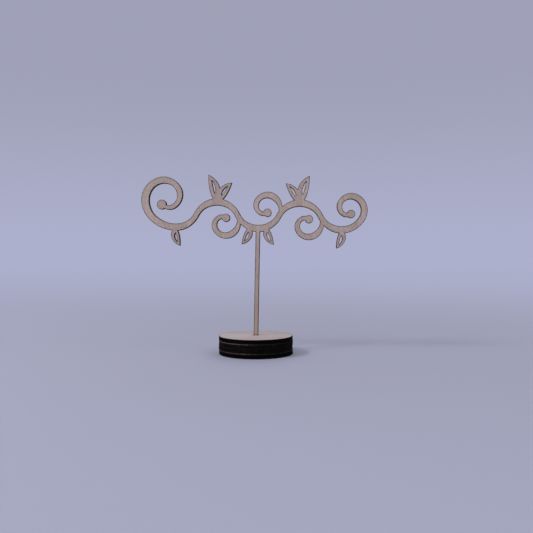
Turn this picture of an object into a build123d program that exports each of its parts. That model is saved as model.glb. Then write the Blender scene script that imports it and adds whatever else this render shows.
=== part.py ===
from build123d import *

import os
from math import cos, radians, sin, sqrt, tan

# Cake topper: a vine scroll and its pick, cut as one piece from plywood sheet, standing in the slot
# of a round base. The base is four discs of the same sheet, glued face to face.
# Frame: +Z up, +X along the scroll, the front towards -Y, the origin at the middle of the base's
# underside. Lengths are in millimetres and angles in degrees.

# Sheet and base
sheet_thickness = 3.0
base_diameter = 50.0
glue_thickness = 0.1
glue_margin = 0.4       # the glue stays this far inside the rim and outside the slot

# Pick and slot
pick_width = 3.0
pick_lean = 1.1         # the topper leans this far towards +X
tip_chamfer = 0.4
slot_play = 0.75        # slack along X, past what the leaning pick needs
slot_clearance = 0.05   # on each face of the sheet
seat_clearance = 0.1    # under the tip of the pick
cut_overrun = 1.0

# Vine
vine_height = 84.5      # middle of the central trough, above the underside
vine_pitch = 28.0       # from a trough to the next crest
vine_turn = 64.0        # from level to the steepest part
stem_thick = 4.8        # at troughs and crests
stem_thin = 3.7         # where the vine changes its bend

# Swirl at the left end, followed outwards from the last trough
swirl_radius = 13.5
swirl_radius_shares = (1.75, 1.25, 1.0, 0.84, 0.66, 0.5)
swirl_turns = (40.0, 50.0, 70.0, 80.0, 85.0, 80.0)
swirl_thick = 5.4
swirl_thin = 2.6
swirl_berry_radius = 3.3

# Volutes: three branches, and the right end of the vine
volute_radius = 9.8
volute_radius_shares = (1.0, 0.8, 0.6, 0.46)
volute_turns = (90.0, 90.0, 90.0, 60.0)
volute_root = 2.2
volute_thick = 4.4
volute_thin = 2.4
berry_radius = 2.8

# Leaves, each with its vein cut through
tall_leaf_length = 19.0
tall_leaf_width = 7.2
tall_leaf_heading = 76.0
side_leaf_length = 15.5
side_leaf_width = 6.2
side_leaf_heading = 122.0
hanging_leaf_length = 13.0
hanging_leaf_width = 5.6
outer_leaf_heading = -104.0
inner_leaf_heading = -68.0
crest_spread = 1.6      # from a crest to the feet of its leaves
trough_spread = 6.0     # from the pick's middle to the feet of the leaves beside it
vein_width = 1.3
belly_share = 0.42      # where a leaf or a vein is widest, from its foot
bow_share = 0.28        # how far its middle is bowed, of its width
vein_start_share = 0.3
vein_length_share = 0.46
vein_shift_share = 0.7  # of the bow of the leaf

# Layers of the base above its bottom disc, in order
slotted_discs = ("lower_disc", "upper_disc", "top_disc")
glue_films = ("bottom_glue_film", "middle_glue_film", "top_glue_film")

# Worked out from the sizes above
disc_step = sheet_thickness + glue_thickness
base_radius = base_diameter / 2
base_height = sheet_thickness + len(slotted_discs) * disc_step
lean_slope = tan(radians(pick_lean))
slot_floor = sheet_thickness
slot_height = base_height - slot_floor
slot_middle = slot_floor + slot_height / 2
slot_width = pick_width / cos(radians(pick_lean)) + slot_height * lean_slope + slot_play
slot_depth = sheet_thickness + 2 * slot_clearance
pick_foot = slot_floor + seat_clearance + pick_width / 2 * lean_slope
vine_radius = vine_pitch / (2 * sin(radians(vine_turn)))
vine_rise = 2 * vine_radius * (1 - cos(radians(vine_turn)))


def ahead(heading):
    return Vector(cos(radians(heading)), sin(radians(heading)))


def left_of(heading):
    return ahead(heading + 90)


def follow(start, heading, arcs):
    """Stations (point, heading) at the ends of tangent arcs of (radius, turn); left turns are positive."""
    stations = [(start, heading)]
    for radius, turn in arcs:
        reach = radius if turn > 0 else -radius
        centre = start + left_of(heading) * reach
        heading = heading + turn
        start = centre - left_of(heading) * reach
        stations.append((start, heading))
    return stations


def biarc(start, start_way, end, end_way):
    """Two arcs that meet smoothly, leaving start and reaching end in the given directions."""
    chord = end - start
    turning = 2 * (1 - start_way.dot(end_way))
    run = chord.dot(start_way + end_way)
    reach = (sqrt(run**2 + turning * chord.dot(chord)) - run) / turning
    middle = (start + end + (start_way - end_way) * reach) * 0.5
    return [
        TangentArc(start, middle, tangent=start_way),
        TangentArc(end, middle, tangent=-end_way),
    ]


def band(stations, widths):
    """Face of a round-ended band through the stations, with a width for each of them."""
    edges = []
    for side in (1, -1):
        rail = [
            (point + left_of(heading) * (side * width / 2), ahead(heading))
            for (point, heading), width in zip(stations, widths)
        ]
        for (start, start_way), (end, end_way) in zip(rail, rail[1:]):
            edges += biarc(start, start_way, end, end_way)
    for (point, heading), width, way in ((stations[0], widths[0], -1), (stations[-1], widths[-1], 1)):
        across = left_of(heading) * (width / 2)
        crown = point + ahead(heading) * (way * width / 2)
        edges.append(ThreePointArc(point + across, crown, point - across))
    return make_face(edges)


def taper(first, last, count):
    """Widths that fall evenly from the first to the last."""
    return [first + (last - first) * step / (count - 1) for step in range(count)]


def volute_arcs(way):
    """Arcs that wind inwards, to the left for a way of 1 and to the right for -1."""
    return [(share * volute_radius, way * turn) for share, turn in zip(volute_radius_shares, volute_turns)]


def blade(foot, heading, length, width, bend):
    """Face of a pointed blade, with an arc to its belly and one on to its tip on each side.

    A bend of 1 bows the blade to the left, and -1 to the right."""
    tip = foot + ahead(heading) * length
    edges = []
    for side in (1, -1):
        out = (bend * bow_share + side / 2) * width
        belly = foot + ahead(heading) * (belly_share * length) + left_of(heading) * out
        edges.append(TangentArc(belly, foot, tangent=-ahead(heading)))
        edges.append(TangentArc(belly, tip, tangent=ahead(heading)))
    return make_face(edges)


def vein(foot, heading, length, width, bend):
    """Slit along the middle of a blade."""
    shift = vein_shift_share * bend * bow_share * width
    start = foot + ahead(heading) * (vein_start_share * length) + left_of(heading) * shift
    return blade(start, heading, vein_length_share * length, vein_width, bend)


def on_stem(extreme, spread, rise):
    """Point on the stem's middle line, a spread along X from a trough (rise 1) or a crest (rise -1)."""
    return extreme + Vector(spread, rise * (vine_radius - sqrt(vine_radius**2 - spread**2)))


def round_plate(radius, thickness, level):
    return Pos(0, 0, level) * Cylinder(radius, thickness, align=(Align.CENTER, Align.CENTER, Align.MIN))


def slot_cutter(margin):
    """Block as large as the slot and a margin round it, taller than the base."""
    return Pos(0, 0, slot_middle) * Box(
        slot_width + 2 * margin, slot_depth + 2 * margin, slot_height + 2 * cut_overrun
    )


# Vine: a wave of arcs, followed both ways from the central trough, into a swirl and a volute
trough = Vector(0, vine_height)
wave = [(vine_radius, way * vine_turn) for way in (1, -1, -1, 1)]
wave_widths = [stem_thick, stem_thin, stem_thick, stem_thin, stem_thick]
swirl_arcs = [(share * swirl_radius, -turn) for share, turn in zip(swirl_radius_shares, swirl_turns)]
left_arcs = [(radius, -turn) for radius, turn in wave] + swirl_arcs
left_widths = wave_widths + [stem_thick] + taper(swirl_thick, swirl_thin, len(swirl_arcs) - 1)
right_arcs = wave + [(vine_radius, vine_turn)] + volute_arcs(1)
right_widths = wave_widths + [volute_thick] + taper(volute_thick, volute_thin, len(volute_turns))
outwards = follow(trough, 180, left_arcs)
vine = [(point, heading + 180) for point, heading in outwards[:0:-1]] + follow(trough, 0, right_arcs)
outline = [band(vine, left_widths[:0:-1] + right_widths)]
outline.append(Pos(vine[0][0]) * Circle(swirl_berry_radius))
outline.append(Pos(vine[-1][0]) * Circle(berry_radius))

# Branch volutes, each leaving the vine where it changes its bend
volute_widths = [volute_root] + taper(volute_thick, volute_thin, len(volute_turns))
for arcs_past_trough, way in ((-1, -1), (1, 1), (3, -1)):
    point, heading = vine[len(left_arcs) + arcs_past_trough]
    branch = follow(point, heading, volute_arcs(way))
    outline.append(band(branch, volute_widths))
    outline.append(Pos(branch[-1][0]) * Circle(berry_radius))

# Leaves: (foot, heading, length, width, bend), in pairs to the left and right of the pick
veins = []
crest = Vector(vine_pitch, vine_height + vine_rise)
outer_trough = Vector(2 * vine_pitch, vine_height)
tall_foot = on_stem(crest, crest_spread, -1)
side_foot = on_stem(crest, -crest_spread, -1)
inner_foot = on_stem(trough, trough_spread, 1)
right_leaves = (
    (tall_foot, tall_leaf_heading, tall_leaf_length, tall_leaf_width, 1),
    (side_foot, side_leaf_heading, side_leaf_length, side_leaf_width, -1),
    (outer_trough, outer_leaf_heading, hanging_leaf_length, hanging_leaf_width, 1),
    (inner_foot, inner_leaf_heading, hanging_leaf_length, hanging_leaf_width, -1),
)
for foot, heading, length, width, bend in right_leaves:
    for mirror in (1, -1):
        start = Vector(mirror * foot.X, foot.Y)
        facing = heading if mirror > 0 else 180 - heading
        outline.append(blade(start, facing, length, width, mirror * bend))
        veins.append(vein(start, facing, length, width, mirror * bend))

# Pick: straight down from the central trough, with a chamfered tip
half_pick = pick_width / 2
outline.append(
    make_face(
        Polyline(
            (-half_pick, vine_height),
            (-half_pick, pick_foot + tip_chamfer),
            (-half_pick + tip_chamfer, pick_foot),
            (half_pick - tip_chamfer, pick_foot),
            (half_pick, pick_foot + tip_chamfer),
            (half_pick, vine_height),
            close=True,
        )
    )
)

# Topper: the outline cut through the sheet, leaning about the middle of the slot
cut_face = outline[0] + outline[1:] - veins
flat_topper = extrude(Plane.XZ * cut_face, amount=sheet_thickness / 2, both=True)
scroll_topper = Pos(0, 0, slot_middle) * Rot(0, pick_lean, 0) * Pos(0, 0, -slot_middle) * flat_topper

nodes = {"scroll_topper": scroll_topper}

# Base: a plain bottom disc and three slotted ones, with a film of glue under each of these
nodes["bottom_disc"] = round_plate(base_radius, sheet_thickness, 0)
for layer, (disc_name, film_name) in enumerate(zip(slotted_discs, glue_films), start=1):
    level = layer * disc_step
    nodes[disc_name] = round_plate(base_radius, sheet_thickness, level) - slot_cutter(0)
    film = round_plate(base_radius - glue_margin, glue_thickness, level - glue_thickness)
    nodes[film_name] = film - slot_cutter(glue_margin)

os.makedirs("parts", exist_ok=True)
for name, solid in nodes.items():
    export_step(solid, f"parts/{name}.step")
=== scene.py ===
from math import cos, pi, radians, sin

import bmesh
import bpy
import numpy as np
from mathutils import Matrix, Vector
from mathutils.geometry import delaunay_2d_cdt


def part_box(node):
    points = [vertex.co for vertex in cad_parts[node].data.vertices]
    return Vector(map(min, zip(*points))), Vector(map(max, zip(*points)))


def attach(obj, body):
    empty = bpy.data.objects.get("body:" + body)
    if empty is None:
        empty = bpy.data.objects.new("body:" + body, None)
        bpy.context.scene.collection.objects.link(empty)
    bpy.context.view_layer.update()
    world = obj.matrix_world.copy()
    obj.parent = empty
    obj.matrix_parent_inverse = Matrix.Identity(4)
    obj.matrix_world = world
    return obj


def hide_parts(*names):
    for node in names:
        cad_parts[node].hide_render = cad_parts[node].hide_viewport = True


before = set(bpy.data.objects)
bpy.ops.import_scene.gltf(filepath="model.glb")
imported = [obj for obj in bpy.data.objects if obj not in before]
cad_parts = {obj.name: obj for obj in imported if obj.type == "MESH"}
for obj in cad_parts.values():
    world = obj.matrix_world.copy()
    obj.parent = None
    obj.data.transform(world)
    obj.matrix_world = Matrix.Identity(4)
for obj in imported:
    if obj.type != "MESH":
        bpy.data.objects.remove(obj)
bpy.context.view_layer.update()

# Base discs: four rounds of 3 mm birch plywood, cut by laser and glued into a stack. The beam leaves
# a black, finely ribbed wall with browned corners, and a thin line of scorch on the face beside it.
# Only the bottom disc is whole: the slot in the other three holds the pick.
mm = 0.001
merge_step = 0.001 * mm
crease_turn = radians(40)       # an edge that turns by more than this isn't smoothed
burnt_away = 0.03 * mm          # lost from every cut wall
corner_round = 0.18 * mm
corner_steps = 5
ply_count = 3
ply_groove_depth = 0.05 * mm
ply_groove_reach = 0.1 * mm     # from the middle of a groove to its side
disc_char_depth = 0.4 * mm      # from a corner down to where the wall has its full char
scorch_reach = 0.2 * mm         # the scorch on a face falls to about a third over this
face_gaps = mm * np.array((0.1, 0.22, 0.45, 0.9, 1.5))  # from a cut to the rows of points beside it
disc_columns = 480
disc_face_rows = 12
browned = 0.5                   # burn: 0 is bare veneer, 0.5 brown scorch, 1 ribbed char, 1.3 plain black
blackened = 0.95
charred = 1.0
sooty = 1.3
shaded_side = radians(20)        # painted shade: the corners are blackened on this side of the stack, away from the key lamp
shade_cosines = (-0.5, 0.75)     # of the angle from that side, where the blackening starts and is full
disc_finishes = (               # name, slip along X in the stack, burn of top corner, wall, bottom corner
    ("bottom_disc", 0.1 * mm, browned, sooty, blackened),
    ("lower_disc", -0.12 * mm, blackened, charred, browned),
    ("upper_disc", 0.06 * mm, browned, charred, blackened),
    ("top_disc", -0.04 * mm, browned, sooty, browned),
)
disc_veneer = ((0.437, 0.381, 0.405), (0.367, 0.316, 0.332), (0.312, 0.26, 0.268))  # pale, dark, streaks
pore_brown = (0.15, 0.105, 0.085)
scorch_brown = (0.13, 0.092, 0.076)
char_black = (0.0018, 0.0016, 0.0017)
char_brown = (0.010, 0.008, 0.0078)
disc_grain_turn = (0, 0, radians(6))
unturned = (0, 0, 0)
drift_noise = ((45 * mm, 9 * mm, 9 * mm), 2)  # size of a spot along and across the grain, and detail
streak_noise = ((60 * mm, 1.2 * mm, 1.2 * mm), 3)
fibre_noise = ((7 * mm, 0.2 * mm, 0.2 * mm), 2)
pore_noise = ((2.4 * mm, 0.16 * mm, 0.16 * mm), 0)
blotch_noise = ((0.9 * mm, 0.9 * mm, 0.9 * mm), 2)
disc_rib_noise = ((0.3 * mm, 0.3 * mm, 5 * mm), 2)  # size along X, Y and Z, and detail
drift_step = (0.3, 0.7)         # noise where it starts and is full, and its shares there if not 0 and 1
streak_step = (0.45, 0.75, 0, 0.5)
fibre_step = (0.35, 0.7, 0, 0.3)
pore_step = (0.64, 0.74, 0, 0.55)
blotch_step = (0.25, 0.75, 0.85, 1.15)
rib_step = (0.4, 0.7)
scorch_step = (0.03, 0.5)       # burn where it starts and is full
char_step = (0.5, 0.85)
soot_step = (1.0, 1.2)
rib_bump_step = (0.5, 0.8)
bump_strength = 0.5
bump_depth = 0.06 * mm
birch_roughness = 0.72
birch_gloss = 0.015


def cut_wall(thickness):
    """Depth and inset of the rows down a cut wall, from one face of the sheet to the other.

    Each corner is a quarter round. Between them the wall is straight, with a shallow groove along each
    glue line of the plies."""
    angle = np.linspace(0, pi / 2, corner_steps)
    corner_depth = corner_round * (1 - np.cos(angle))
    corner_inset = corner_round * (1 - np.sin(angle))
    seams = thickness * np.arange(1, ply_count) / ply_count
    seam_depth = (seams[:, None] + ply_groove_reach * np.array((-1, 0, 1))).ravel()
    seam_inset = np.tile((0, ply_groove_depth, 0), len(seams))
    depth = np.concatenate((corner_depth, seam_depth, thickness - corner_depth[::-1]))
    inset = burnt_away + np.concatenate((corner_inset, seam_inset, corner_inset[::-1]))
    return depth, inset


def wall_burn(depth, first, middle, last, char_depth):
    """Burn down a wall: a corner's own value, going evenly to the middle's over the char depth."""
    near_first = np.clip(1 - depth / char_depth, 0, 1)
    near_last = np.clip(1 - (depth[-1] - depth) / char_depth, 0, 1)
    return middle + near_first * (first - middle) + near_last * (last - middle)


def face_burn(gap, corner_burn):
    """Burn on a face: the corner's value, falling exponentially with the gap from the cut."""
    return corner_burn * np.exp(-np.maximum(gap, 0) / scorch_reach)


def painted_shade_share(turn):
    """How much painted shade blackens the stack's edge at each angle: the root of the cosine from the
    shaded side, rescaled.
    """
    start, full = shade_cosines
    return np.sqrt(np.clip((np.cos(turn - shaded_side) - start) / (full - start), 0, 1))


def cad_points(node):
    """Corner points of a CAD node, one row each."""
    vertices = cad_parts[node].data.vertices
    points = np.empty(3 * len(vertices), np.float32)
    vertices.foreach_get("co", points)
    return points.reshape(-1, 3).astype(float)


def slot_half_sizes(node, radius):
    """Half the slot's sizes along X and Y: the furthest corner points that lie well inside the rim."""
    points = np.abs(cad_points(node)[:, :2])
    inner = points[np.hypot(points[:, 0], points[:, 1]) < radius / 2]
    return inner.max(axis=0) if len(inner) else np.zeros(2)


def turns_round(half_x, half_y):
    """Even angles round a disc, with the angles of the slot's four corners among them."""
    corner = np.arctan2(half_y, half_x)
    corners = np.array((corner, pi - corner, pi + corner, 2 * pi - corner))
    even = 2 * pi * np.arange(disc_columns) / disc_columns
    return np.union1d(even, corners) if half_x > 0 else even


def slot_reach(turn, half_x, half_y):
    """How far the slot reaches from the axis along each angle: the nearer of its side and its end."""
    if half_x == 0:
        return np.zeros_like(turn)
    return 1 / np.maximum(np.abs(np.cos(turn)) / half_x, np.abs(np.sin(turn)) / half_y)


def disc_face(inner, radius, edge, slotted):
    """Reach of the rows of a disc's face, from its slot or axis to its rim, and each point's gap to a
    cut. The rows lie close together beside a cut, and are spread evenly between."""
    near_slot = inner + edge if slotted else inner
    near_rim = radius - edge
    slot_rows = near_slot + (np.insert(face_gaps, 0, 0) if slotted else np.zeros(1))[:, None]
    rim_rows = near_rim - face_gaps[::-1, None] + np.zeros_like(inner)
    span = np.linspace(0, 1, disc_face_rows)[1:-1, None]
    middle_rows = slot_rows[-1] * (1 - span) + rim_rows[0] * span
    reach = np.concatenate((slot_rows, middle_rows, rim_rows))
    gap = near_rim - reach
    return reach, np.minimum(gap, reach - near_slot) if slotted else gap


def disc_surface(radius, low, high, half_x, half_y, finish):
    """Points and burn of a disc over (step along its section, angle round it).

    The section goes out along the top, down the rim, back in along the underside and, on a slotted
    disc, up the wall of the slot. Its inner end follows the outline of the slot, and its outer end
    the rim."""
    turn = turns_round(half_x, half_y)
    inner = slot_reach(turn, half_x, half_y)
    slotted = half_x > 0
    depth, inset = (rows[:, None] for rows in cut_wall(high - low))
    # painted shade: the corners darken towards the side away from the key lamp
    darkening = painted_shade_share(turn)
    shaded_finish = (np.maximum(burn, burn + (blackened - burn) * darkening) for burn in finish)
    top_burn, middle_burn, bottom_burn = shaded_finish
    face_reach, gap = disc_face(inner, radius, inset[0], slotted)
    down = wall_burn(depth, top_burn, middle_burn, bottom_burn, disc_char_depth)
    reach = [face_reach, radius - inset + np.zeros_like(turn), face_reach[::-1]]
    top, bottom = (np.full_like(face_reach, height) for height in (high, low))
    level = [top, high - depth + np.zeros_like(turn), bottom]
    burn = [face_burn(gap, top_burn), down, face_burn(gap, bottom_burn)[::-1]]
    if slotted:
        reach.append((inner + inset)[-2:0:-1])
        level.append(level[1][-2:0:-1])
        burn.append(down[-2:0:-1])
    reach, level, burn = (np.concatenate(rows) for rows in (reach, level, burn))
    return np.stack((reach * np.cos(turn), reach * np.sin(turn), level), axis=-1), burn


def column_after(columns):
    """Number of the column after each, on a grid that closes on itself."""
    return np.roll(np.arange(columns), -1)


def grid_quads(rows, after, closed):
    """Faces of a grid: each column joins the one after it, and the last row the first if closed."""
    columns = len(after)
    row = columns * np.arange(rows if closed else rows - 1)[:, None]
    next_row = (row + columns) % (rows * columns)
    column = np.arange(columns)
    corners = (row + column, next_row + column, next_row + after, row + after)
    return np.stack(corners, axis=-1).reshape(-1, 4)


def make_piece(name, points, faces, material, burn=None):
    """Object at the origin from points, faces and each point's burn. Points that meet are merged."""
    mesh = bpy.data.meshes.new(name)
    mesh.from_pydata(points.reshape(-1, 3).tolist(), [], faces)
    if burn is not None:
        values = mesh.attributes.new("burn", "FLOAT", "POINT").data
        values.foreach_set("value", burn.astype(np.float32).ravel())
    merging = bmesh.new()
    merging.from_mesh(mesh)
    bmesh.ops.remove_doubles(merging, verts=merging.verts, dist=merge_step)
    merging.to_mesh(mesh)
    merging.free()
    mesh.polygons.foreach_set("use_smooth", np.ones(len(mesh.polygons), bool))
    mesh.materials.append(material)
    mesh.set_sharp_from_angle(angle=crease_turn)
    piece = bpy.data.objects.new(name, mesh)
    bpy.context.scene.collection.objects.link(piece)
    return piece


def link_or_set(tree, socket, value):
    """Gives a shader socket a number or a colour, or links it to another node's output."""
    if isinstance(value, bpy.types.NodeSocket):
        tree.links.new(value, socket)
    elif socket.type == "RGBA":
        socket.default_value = (*value, 1)
    else:
        socket.default_value = value


def stretched_noise(tree, turn, size, detail):
    """Noise whose spots have the given size along each of the turned axes of the object."""
    place = tree.nodes.new("ShaderNodeTexCoord")
    stretch = tree.nodes.new("ShaderNodeMapping")
    stretch.vector_type = "TEXTURE"
    noise = tree.nodes.new("ShaderNodeTexNoise")
    link_or_set(tree, stretch.inputs["Vector"], place.outputs["Object"])
    link_or_set(tree, stretch.inputs["Rotation"], turn)
    link_or_set(tree, stretch.inputs["Scale"], size)
    link_or_set(tree, noise.inputs["Vector"], stretch.outputs["Vector"])
    link_or_set(tree, noise.inputs["Scale"], 1)
    link_or_set(tree, noise.inputs["Detail"], detail)
    return noise.outputs[0]


def stepped(tree, value, low, high, first=0, last=1):
    """Smooth step from first to last as a value goes from low to high."""
    step = tree.nodes.new("ShaderNodeMapRange")
    step.interpolation_type = "SMOOTHSTEP"
    for socket, number in zip(step.inputs, (value, low, high, first, last)):
        link_or_set(tree, socket, number)
    return step.outputs[0]


def mixed(tree, share, first, second):
    """Colour that goes from the first to the second as the share goes from 0 to 1."""
    mix = tree.nodes.new("ShaderNodeMix")
    mix.data_type = "RGBA"
    first_socket, second_socket = (socket for socket in mix.inputs if socket.type == "RGBA")
    link_or_set(tree, mix.inputs["Factor"], share)
    link_or_set(tree, first_socket, first)
    link_or_set(tree, second_socket, second)
    return next(socket for socket in mix.outputs if socket.type == "RGBA")


def combined(tree, operation, first, second):
    """Number worked out from two others."""
    maths = tree.nodes.new("ShaderNodeMath")
    maths.operation = operation
    link_or_set(tree, maths.inputs[0], first)
    link_or_set(tree, maths.inputs[1], second)
    return maths.outputs[0]


def new_material(name):
    """Empty node material, its node tree and its shader."""
    material = bpy.data.materials.new(name)
    material.use_nodes = True
    return material, material.node_tree, material.node_tree.nodes["Principled BSDF"]


def cut_birch(name, tones, grain_turn, rib_noise, marked=None):
    """Raw birch veneer that its burn attribute scorches and then chars.

    The veneer is a broad drift of tone, long streaks, fine fibres and short dark pores, all along the
    grain, and may be marked before it is burnt. Char is ribbed across the sheet by the beam, until soot
    covers the ribs."""
    material, tree, shader = new_material(name)
    pale, dark, streaks = tones
    drift = stretched_noise(tree, grain_turn, *drift_noise)
    streak = stretched_noise(tree, grain_turn, *streak_noise)
    fibre = stretched_noise(tree, grain_turn, *fibre_noise)
    pore = stretched_noise(tree, grain_turn, *pore_noise)
    blotch = stretched_noise(tree, grain_turn, *blotch_noise)
    rib = stretched_noise(tree, unturned, *rib_noise)
    colour = mixed(tree, stepped(tree, drift, *drift_step), pale, dark)
    colour = mixed(tree, stepped(tree, streak, *streak_step), colour, streaks)
    colour = mixed(tree, stepped(tree, fibre, *fibre_step), colour, streaks)
    colour = mixed(tree, stepped(tree, pore, *pore_step), colour, pore_brown)
    if marked is not None:
        colour = marked(tree, colour)
    attribute = tree.nodes.new("ShaderNodeAttribute")
    attribute.attribute_name = "burn"
    burn = attribute.outputs["Fac"]
    uneven_burn = combined(tree, "MULTIPLY", burn, stepped(tree, blotch, *blotch_step))
    char = mixed(tree, stepped(tree, rib, *rib_step), char_black, char_brown)
    char = mixed(tree, stepped(tree, uneven_burn, *soot_step), char, char_black)
    colour = mixed(tree, stepped(tree, uneven_burn, *scorch_step), colour, scorch_brown)
    colour = mixed(tree, stepped(tree, uneven_burn, *char_step), colour, char)
    bump = tree.nodes.new("ShaderNodeBump")
    link_or_set(tree, bump.inputs["Strength"], bump_strength)
    link_or_set(tree, bump.inputs["Distance"], bump_depth)
    link_or_set(tree, bump.inputs["Height"], mixed(tree, stepped(tree, burn, *rib_bump_step), fibre, rib))
    link_or_set(tree, shader.inputs["Base Color"], colour)
    link_or_set(tree, shader.inputs["Normal"], bump.outputs["Normal"])
    link_or_set(tree, shader.inputs["Roughness"], birch_roughness)
    link_or_set(tree, shader.inputs["Specular IOR Level"], birch_gloss)
    return material


disc_birch = cut_birch("disc_birch", disc_veneer, disc_grain_turn, disc_rib_noise)
disc_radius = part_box("bottom_disc")[1].y
for disc_name, disc_slip, *disc_finish in disc_finishes:
    disc_low, disc_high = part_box(disc_name)
    slot_half = slot_half_sizes(disc_name, disc_radius)
    disc_points, disc_burn = disc_surface(disc_radius, disc_low.z, disc_high.z, *slot_half, disc_finish)
    disc_points[..., 0] += disc_slip
    rows, columns = disc_burn.shape
    disc_faces = grid_quads(rows, column_after(columns), slot_half[0] > 0).tolist()
    disc = make_piece(disc_name + "_wood", disc_points, disc_faces, disc_birch, disc_burn)
    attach(disc, "base")
    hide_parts(disc_name)

# Glue films: brown craft glue spread between the discs. It shows as a wavering line in each seam,
# a little inside the rim, and stays clear of the slot. The middle film was spread the thinnest.
glue_rim_gaps = (               # name, mean gap from the rim of the discs
    ("bottom_glue_film", 0.14 * mm),
    ("middle_glue_film", 0.4 * mm),
    ("top_glue_film", 0.14 * mm),
)
glue_waver = 0.04 * mm
glue_waves = np.array((5, 13, 29))  # how many of each go once round the film
glue_pale = (0.13, 0.093, 0.08)
glue_dark = (0.045, 0.032, 0.028)
glue_blotch_noise = ((3 * mm, 3 * mm, 3 * mm), 3)
glue_blotch_step = (0.35, 0.65)
glue_roughness = 0.5
glue_gloss = 0.15


def film_surface(radius, low, high, half_x, half_y, rim_gap, phase):
    """Points of a film over (step along its section, angle round it).

    The section is a thin rectangle from the outline of its own slot to near the rim. The gap to the rim
    doubles on the side with painted shade, and wavers by the mean of some waves round the edge."""
    turn = turns_round(half_x, half_y)
    waves = np.sin(glue_waves[:, None] * (turn + phase)).mean(axis=0)
    # the glue line sits further in on the side where the disc corners carry painted shade
    outer = radius - rim_gap * (1 + painted_shade_share(turn)) + glue_waver * waves
    inner = slot_reach(turn, half_x, half_y)
    reach = np.stack((inner, outer, outer, inner))
    level = np.array((high, high, low, low))[:, None] + np.zeros_like(turn)
    return np.stack((reach * np.cos(turn), reach * np.sin(turn), level), axis=-1)


def dried_glue(name):
    """Brown glue, blotched where it lies thicker, with a dull gloss."""
    material, tree, shader = new_material(name)
    blotch = stretched_noise(tree, unturned, *glue_blotch_noise)
    colour = mixed(tree, stepped(tree, blotch, *glue_blotch_step), glue_pale, glue_dark)
    link_or_set(tree, shader.inputs["Base Color"], colour)
    link_or_set(tree, shader.inputs["Roughness"], glue_roughness)
    link_or_set(tree, shader.inputs["Specular IOR Level"], glue_gloss)
    return material


craft_glue = dried_glue("craft_glue")
for phase, (film_name, rim_gap) in enumerate(glue_rim_gaps):
    film_low, film_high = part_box(film_name)
    film_slot = slot_half_sizes(film_name, film_high.y)
    film_points = film_surface(disc_radius, film_low.z, film_high.z, *film_slot, rim_gap, phase)
    rows, columns = film_points.shape[:2]
    film_faces = grid_quads(rows, column_after(columns), True).tolist()
    film = make_piece(film_name + "_bead", film_points, film_faces, craft_glue)
    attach(film, "base")
    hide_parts(film_name)

# Scroll topper: vine, leaves and pick in one piece, cut by laser from 3 mm birch plywood. Its faces
# are bare veneer with a scorched outline, and its walls are charred. The pick stands loose in the slot,
# and has a brown band at its foot, just above the slot's mouth.
corner_turn = radians(25)       # a sharper turn of the outline is a corner, and not part of an arc
outline_step = 0.5 * mm
mitre_limit = 1.5               # longest step into a corner, of a step into a straight cut
tip_taper = 1.2 * mm            # the rounded edge shrinks over this stretch before a pointed tip
tip_share = 0.05                # of the rounded edge that is left at the tip
hull_triangles = 0              # what the triangulation returns: triangles, out to the convex hull
snap_distance = 1e-6            # of the triangulation, in millimetres
ring_strides = (1, 1, 2, 2, 3)  # each ring of points inside the outline uses one in so many
clear_share = 0.92              # a ring's point is kept if it is this share of its gap from every edge
topper_char_depth = 0.2 * mm
front_burn = 0.7                # at the corners of the cuts
back_burn = 0.75
topper_veneer = ((0.485, 0.391, 0.362), (0.401, 0.317, 0.289), (0.333, 0.255, 0.222))
topper_grain_turn = (0, radians(-91.1), 0)  # along the leaning pick
topper_rib_noise = ((0.3 * mm, 5 * mm, 0.3 * mm), 2)
handled_tone = (0.33, 0.235, 0.17)
handled_step = (72.7 * mm, 9.7 * mm, 0, 0.45)  # height above the slot where it starts and is full, shares
speck_noise = ((0.7 * mm, 0.7 * mm, 0.9 * mm), 1)
speck_step = (0.66, 0.74, 0, 0.6)
speck_height_step = (14 * mm, 3 * mm)
band_edge_noise = ((0.6 * mm, 0.6 * mm, 1.5 * mm), 2)
band_edge_step = (0.25, 0.75, -0.35 * mm, 0.35 * mm)  # moves the edges of the brown band up and down
# brown band on the pick, just above the slot's mouth
mouth_band_step = (1.2 * mm, 0.42 * mm, 0, 0.7)
hidden_band_step = (-0.6 * mm, -2.4 * mm, 0, 0.5)  # taken off again, inside the slot


def front_loops(node):
    """Loops of points (x, z) round the front of a CAD sheet, each with the wood on its left.

    An edge of a front triangle is on a loop if no front triangle has it the other way round. The points
    are put in order by doubling strides: first to find the lowest number on each point's own loop, then
    to count the steps from each point on to that one."""
    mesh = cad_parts[node].data
    points = cad_points(node)
    corners = np.empty(len(mesh.loops), np.int32)
    mesh.loops.foreach_get("vertex_index", corners)
    triangles = corners.reshape(-1, 3)
    on_front = points[:, 1] < points[:, 1].min() + merge_step
    flat, merged = np.unique(np.round(points[:, (0, 2)] / merge_step), axis=0, return_inverse=True)
    triangles = merged.reshape(-1)[triangles[on_front[triangles].all(axis=1)]]
    edges = np.concatenate((triangles[:, (0, 1)], triangles[:, (1, 2)], triangles[:, (2, 0)]))
    count = len(flat)
    rim = edges[~np.isin(edges @ (count, 1), edges @ (1, count))]
    itself = np.arange(count)
    follower = itself.copy()
    follower[rim[:, 0]] = rim[:, 1]
    lowest = itself
    stride = follower
    for _ in range(count.bit_length()):
        lowest = np.minimum(lowest, lowest[stride])
        stride = stride[stride]
    steps = (lowest != itself).astype(int)
    stride = np.where(steps > 0, follower, itself)
    for _ in range(count.bit_length()):
        steps = steps + steps[stride]
        stride = stride[stride]
    on_rim = rim[:, 0]
    order = on_rim[np.lexsort((-steps[on_rim], lowest[on_rim]))]
    loop_starts = np.flatnonzero(np.diff(lowest[order])) + 1
    return [merge_step * flat[part] for part in np.split(order, loop_starts)]


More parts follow.
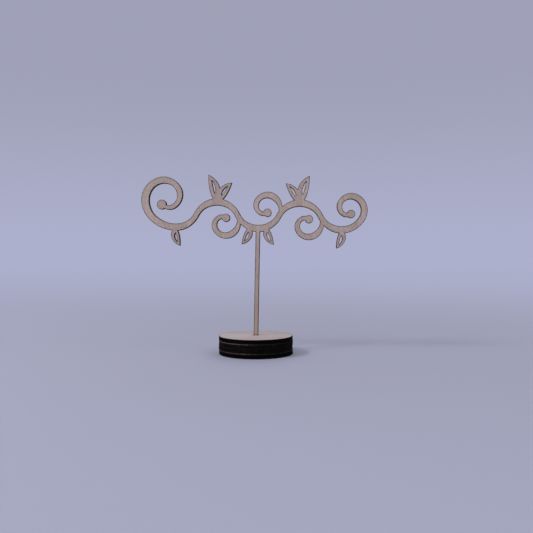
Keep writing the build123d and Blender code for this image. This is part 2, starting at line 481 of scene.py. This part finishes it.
def turns_of(loop):
    """Angle that a loop turns by at each point, positive to the left."""
    ahead = np.roll(loop, -1, axis=0) - loop
    behind = np.roll(ahead, 1, axis=0)
    across = behind[:, 0] * ahead[:, 1] - behind[:, 1] * ahead[:, 0]
    return np.arctan2(across, (behind * ahead).sum(axis=1))


def blended(first, second, first_knot, second_knot, at):
    """Points on the lines through pairs of points, where each pair has its two knots."""
    share = ((at - first_knot) / (second_knot - first_knot))[:, None]
    return first * (1 - share) + second * share


def curve_between(before, start, end, beyond, share):
    """Points at a share of the way from start to end, on the smooth curve that also passes the points
    before and beyond them. Its knots are spaced by the square roots of the chords."""
    chords = np.stack((start - before, end - start, beyond - end))
    knots = np.cumsum(np.sqrt(np.hypot(chords[..., 0], chords[..., 1])), axis=0)
    zero = np.zeros_like(share)
    at = knots[0] + share * (knots[1] - knots[0])
    near = blended(before, start, zero, knots[0], at)
    middle = blended(start, end, knots[0], knots[1], at)
    far = blended(end, beyond, knots[1], knots[2], at)
    first = blended(near, middle, zero, knots[1], at)
    second = blended(middle, far, knots[0], knots[2], at)
    return blended(first, second, knots[0], knots[1], at)


def rounded_loop(loop):
    """Loop with points every outline step, on curves through its own, and which of them are corners.

    A curve doesn't look across a corner: there the point beyond is the mirror image of the one at the
    chord's other end, and between two corners the line is straight."""
    corner = np.abs(turns_of(loop)) > corner_turn
    next_corner = np.roll(corner, -1)
    before, after, beyond = (np.roll(loop, shift, axis=0) for shift in (1, -1, -2))
    chord = after - loop
    length = np.hypot(chord[:, 0], chord[:, 1])
    along = chord / length[:, None]
    middle = (loop + after) / 2
    outer = np.stack((before, beyond))
    reach = ((outer - middle) * along).sum(axis=-1, keepdims=True) * along
    mirrored_before, mirrored_beyond = outer - 2 * reach
    straight = (corner & next_corner)[:, None]
    before = np.where(corner[:, None], np.where(straight, loop - chord, mirrored_beyond), before)
    beyond = np.where(next_corner[:, None], np.where(straight, after + chord, mirrored_before), beyond)
    counts = np.ceil(length / outline_step).astype(int)
    which = np.repeat(np.arange(len(loop)), counts)
    step_number = np.arange(len(which)) - np.repeat(np.cumsum(counts) - counts, counts)
    share = step_number / counts[which]
    points = curve_between(before[which], loop[which], after[which], beyond[which], share)
    return points, corner[which] & (step_number == 0)


def inward_ways(loop, corner):
    """Step into the wood at each point, and the share of it that is taken near a pointed tip.

    The step halves the angle between the two edges that meet there, and is longer at a corner, as in a
    mitre. The share falls evenly towards a tip."""
    ahead = np.roll(loop, -1, axis=0) - loop
    length = np.hypot(ahead[:, 0], ahead[:, 1])
    left = np.stack((-ahead[:, 1], ahead[:, 0]), axis=1) / length[:, None]
    middle = left + np.roll(left, 1, axis=0)
    middle /= np.hypot(middle[:, 0], middle[:, 1])[:, None]
    mitre = np.minimum(1 / np.maximum((middle * left).sum(axis=1), 1 / mitre_limit), mitre_limit)
    path = np.cumsum(length) - length
    tips = path[corner & (turns_of(loop) > 0)]
    share = np.ones(len(loop))
    if len(tips):
        way = np.abs(path[:, None] - tips[None, :])
        way = np.minimum(way, length.sum() - way).min(axis=1)
        share = np.clip(way / tip_taper, tip_share, 1)
    return middle * mitre[:, None], share


def sheet_outline(node):
    """Outline of a sheet: points, the number of the point after each, the way inwards and its share."""
    parts = []
    count = 0
    for loop in front_loops(node):
        points, corner = rounded_loop(loop)
        parts.append((points, count + column_after(len(points)), *inward_ways(points, corner)))
        count += len(points)
    return [np.concatenate(part) for part in zip(*parts)]


def sheet_walls(outline, inward, share, low, thickness):
    """Points of a sheet's walls over (row down the wall, point round the outline), with the depth of
    each row and the inset of the first: the outline, moved into the wood by each row's inset."""
    depth, inset = cut_wall(thickness)
    rows = outline + (inset[:, None] * share)[..., None] * inward
    level = low + depth[:, None] + np.zeros(len(outline))
    return np.stack((rows[..., 0], level, rows[..., 1]), axis=-1), depth, inset[0]


def face_rings(outline, inward, edge):
    """Points of a face in rings inside its outline, and the gap of each to the nearest cut.

    A ring's points lie its gap inwards from the outline, and are left out where another cut is nearer."""
    rings, gaps = [], []
    for gap, stride in zip(face_gaps, ring_strides):
        ring = (outline + (edge + gap) * inward)[::stride]
        away = np.hypot(*np.moveaxis(ring[:, None, :] - outline[None, :, :], -1, 0)).min(axis=1)
        clear = away > clear_share * (edge + gap)
        rings.append(ring[clear])
        gaps.append(away[clear] - edge)
    return np.concatenate(rings), np.concatenate(gaps)


def inside_outline(spots, starts, ends):
    """Whether each spot is in the wood: a line from it crosses the outline an odd number of times."""
    above = (starts[None, :, 1] > spots[:, None, 1]) != (ends[None, :, 1] > spots[:, None, 1])
    rise = np.where(starts[:, 1] == ends[:, 1], 1, ends[:, 1] - starts[:, 1])
    slope = (ends[:, 0] - starts[:, 0]) / rise
    crossing = starts[None, :, 0] + (spots[:, None, 1] - starts[None, :, 1]) * slope[None, :]
    return (above & (spots[:, None, 0] < crossing)).sum(axis=1) % 2 == 1


def face_triangles(rim, after, inner):
    """Triangles over the wood of a face, numbered over the points of its rim and then the inner ones."""
    points = np.concatenate((rim, inner))
    edges = np.stack((np.arange(len(rim)), after), axis=1)
    found = delaunay_2d_cdt((points / mm).tolist(), edges.tolist(), [], hull_triangles, snap_distance)
    _, _, found_triangles, found_sources, _, _ = found
    numbers = np.array([sources[0] for sources in found_sources])
    triangles = numbers[np.array(found_triangles)]
    doubtful = (triangles < len(rim)).all(axis=1)
    in_wood = ~doubtful
    in_wood[doubtful] = inside_outline(points[triangles[doubtful]].mean(axis=1), rim, rim[after])
    return triangles[in_wood]


def pick_marks(tree, colour):
    """Veneer of the pick, marked by its height above the slot's mouth.

    A handled tone and a few specks come in towards the foot. A brown band comes in just above the mouth,
    and part of it is taken off again below. Noise moves the edges of the band."""
    place = tree.nodes.new("ShaderNodeTexCoord")
    parts = tree.nodes.new("ShaderNodeSeparateXYZ")
    link_or_set(tree, parts.inputs[0], place.outputs["Object"])
    height = combined(tree, "SUBTRACT", parts.outputs["Z"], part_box("top_disc")[1].z)
    speck = stretched_noise(tree, unturned, *speck_noise)
    speck_share = stepped(tree, speck, *speck_step)
    low_share = stepped(tree, height, *speck_height_step)
    band_edge = stretched_noise(tree, unturned, *band_edge_noise)
    band_height = combined(tree, "ADD", height, stepped(tree, band_edge, *band_edge_step))
    # brown band just above the slot's mouth, with wavering edges
    darkening = stepped(tree, band_height, *mouth_band_step)
    hidden = stepped(tree, band_height, *hidden_band_step)
    colour = mixed(tree, stepped(tree, height, *handled_step), colour, handled_tone)
    colour = mixed(tree, combined(tree, "MULTIPLY", speck_share, low_share), colour, pore_brown)
    return mixed(tree, combined(tree, "SUBTRACT", darkening, hidden), colour, scorch_brown)


topper_low, topper_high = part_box("scroll_topper")
outline, after, inward, inward_share = sheet_outline("scroll_topper")
topper_thickness = topper_high.y - topper_low.y
walls, wall_depth, edge = sheet_walls(outline, inward, inward_share, topper_low.y, topper_thickness)
inner, inner_gap = face_rings(outline, inward, edge)
triangles = face_triangles(walls[0][:, (0, 2)], after, inner)
wall_count = len(wall_depth) * len(outline)
inner_numbers = wall_count + np.arange(len(inner))
rim_numbers = np.arange(len(outline))
front_numbers = np.concatenate((rim_numbers, inner_numbers))
back_numbers = np.concatenate((rim_numbers + wall_count - len(outline), inner_numbers + len(inner)))
inner_points = [np.insert(inner, 1, level, axis=1) for level in (topper_low.y, topper_high.y)]
topper_points = np.concatenate((walls.reshape(-1, 3), *inner_points))
burn_down = wall_burn(wall_depth, front_burn, sooty, back_burn, topper_char_depth)
inner_burns = [face_burn(inner_gap, burn) for burn in (front_burn, back_burn)]
topper_burn = np.concatenate((np.repeat(burn_down, len(outline)), *inner_burns))
topper_faces = grid_quads(len(wall_depth), after, False).tolist()
topper_faces += front_numbers[triangles].tolist() + back_numbers[triangles[:, ::-1]].tolist()
topper_birch = cut_birch("topper_birch", topper_veneer, topper_grain_turn, topper_rib_noise, pick_marks)
topper = make_piece("scroll_topper_wood", topper_points, topper_faces, topper_birch, topper_burn)
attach(topper, "topper")
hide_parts("scroll_topper")

# Stage: a pale floor that runs into a backdrop of nearly the same colour, an even light from above and
# all round, and soft lamps at the left, the right, the front and the back. The camera stands as for the
# photograph.
floor_colour = (0.326, 0.331, 0.441)
backdrop_low = (0.418, 0.434, 0.604)
backdrop_high = (0.352, 0.357, 0.48)
backdrop_rise = 0.3             # sine of the angle above the horizon where the backdrop is darkest
floor_reaches = np.append(0, 0.05 * 2.0 ** np.arange(10))  # each ring reaches twice as far as the last
floor_columns = 96
floor_half_way = 0.45           # at this distance the floor is half faded into the backdrop
floor_roughness = 0.9
floor_gloss = 0.1
sky_white = (1, 1, 1)
sky_level = 0.58
lamp_target = Vector((0, 0, 0.06))
lamps = (                       # name, place, size of the square, power
    ("key_lamp", (-0.62, -0.38, 0.7), 0.22, 4.2),
    ("side_lamp", (0.9, -0.35, 0.85), 0.35, 1.3),
    ("front_lamp", (0, -1.8, 1.0), 1.2, 7.5),
    ("back_lamp", (0.2, 1.5, 1.0), 1.2, 5),
)
camera_distance = 0.4
camera_height = 0.0647
camera_side = radians(4)        # to the right of straight ahead
camera_turn = (radians(89.155), 0, radians(2.97))
camera_lens = 39.9


def floor_surface():
    """Points of the floor over (step outwards, angle round): flat rings about the origin."""
    turn = 2 * pi * np.arange(floor_columns) / floor_columns
    reach = floor_reaches[:, None]
    level = np.zeros((len(floor_reaches), floor_columns))
    return np.stack((reach * np.cos(turn), reach * np.sin(turn), level), axis=-1)


def seen_straight(tree):
    """1 for the camera's own rays, reflected and refracted ones too, and 0 for those that carry light."""
    path = tree.nodes.new("ShaderNodeLightPath")
    glossy = combined(tree, "MAXIMUM", path.outputs["Is Camera Ray"], path.outputs["Is Glossy Ray"])
    return combined(tree, "MAXIMUM", glossy, path.outputs["Is Transmission Ray"])


def mixed_shader(tree, share, first, second, output):
    """Sends a mix of two shaders to an output node."""
    mix = tree.nodes.new("ShaderNodeMixShader")
    link_or_set(tree, mix.inputs[0], share)
    link_or_set(tree, mix.inputs[1], first)
    link_or_set(tree, mix.inputs[2], second)
    link_or_set(tree, output.inputs["Surface"], mix.outputs[0])


def floor_paint():
    """Matt paint that, for the camera, fades into the backdrop with the distance.

    The share of the backdrop is the distance squared, over that plus the square of the half-way
    distance."""
    material, tree, shader = new_material("floor_paint")
    link_or_set(tree, shader.inputs["Base Color"], floor_colour)
    link_or_set(tree, shader.inputs["Roughness"], floor_roughness)
    link_or_set(tree, shader.inputs["Specular IOR Level"], floor_gloss)
    backdrop = tree.nodes.new("ShaderNodeEmission")
    link_or_set(tree, backdrop.inputs["Color"], backdrop_low)
    place = tree.nodes.new("ShaderNodeTexCoord")
    product = tree.nodes.new("ShaderNodeVectorMath")
    product.operation = "DOT_PRODUCT"
    link_or_set(tree, product.inputs[0], place.outputs["Object"])
    link_or_set(tree, product.inputs[1], place.outputs["Object"])
    squared = product.outputs["Value"]
    far = combined(tree, "DIVIDE", squared, combined(tree, "ADD", squared, floor_half_way**2))
    share = combined(tree, "MULTIPLY", far, seen_straight(tree))
    mixed_shader(tree, share, shader.outputs[0], backdrop.outputs[0], tree.nodes["Material Output"])
    return material


def light_world():
    """World that lights evenly in white, and shows the camera a backdrop that darkens upwards."""
    world = bpy.data.worlds.new("studio")
    world.use_nodes = True
    tree = world.node_tree
    sky = tree.nodes["Background"]
    link_or_set(tree, sky.inputs["Color"], sky_white)
    link_or_set(tree, sky.inputs["Strength"], sky_level)
    backdrop = tree.nodes.new("ShaderNodeBackground")
    way = tree.nodes.new("ShaderNodeTexCoord")
    parts = tree.nodes.new("ShaderNodeSeparateXYZ")
    link_or_set(tree, parts.inputs[0], way.outputs["Generated"])
    tone = mixed(tree, stepped(tree, parts.outputs["Z"], 0, backdrop_rise), backdrop_low, backdrop_high)
    link_or_set(tree, backdrop.inputs["Color"], tone)
    output = tree.nodes["World Output"]
    mixed_shader(tree, seen_straight(tree), sky.outputs[0], backdrop.outputs[0], output)
    return world


def add_lamp(name, place, size, power):
    """Square soft lamp that faces the middle of the part."""
    lamp_data = bpy.data.lights.new(name, "AREA")
    lamp_data.size = size
    lamp_data.energy = power
    lamp = bpy.data.objects.new(name, lamp_data)
    lamp.location = place
    lamp.rotation_euler = (lamp_target - lamp.location).to_track_quat("-Z", "Y").to_euler()
    bpy.context.scene.collection.objects.link(lamp)


floor_faces = grid_quads(len(floor_reaches), column_after(floor_columns), False).tolist()
floor = make_piece("floor", floor_surface(), floor_faces, floor_paint())
bpy.context.scene.world = light_world()
for lamp_values in lamps:
    add_lamp(*lamp_values)

camera_data = bpy.data.cameras.new("camera")
camera = bpy.data.objects.new("camera", camera_data)
bpy.context.scene.collection.objects.link(camera)
camera_place = (camera_distance * sin(camera_side), -camera_distance * cos(camera_side), camera_height)
camera.location = camera_place
camera.rotation_euler = camera_turn
camera_data.lens = camera_lens
bpy.context.scene.camera = camera
bpy.context.scene.view_settings.view_transform = "Standard"
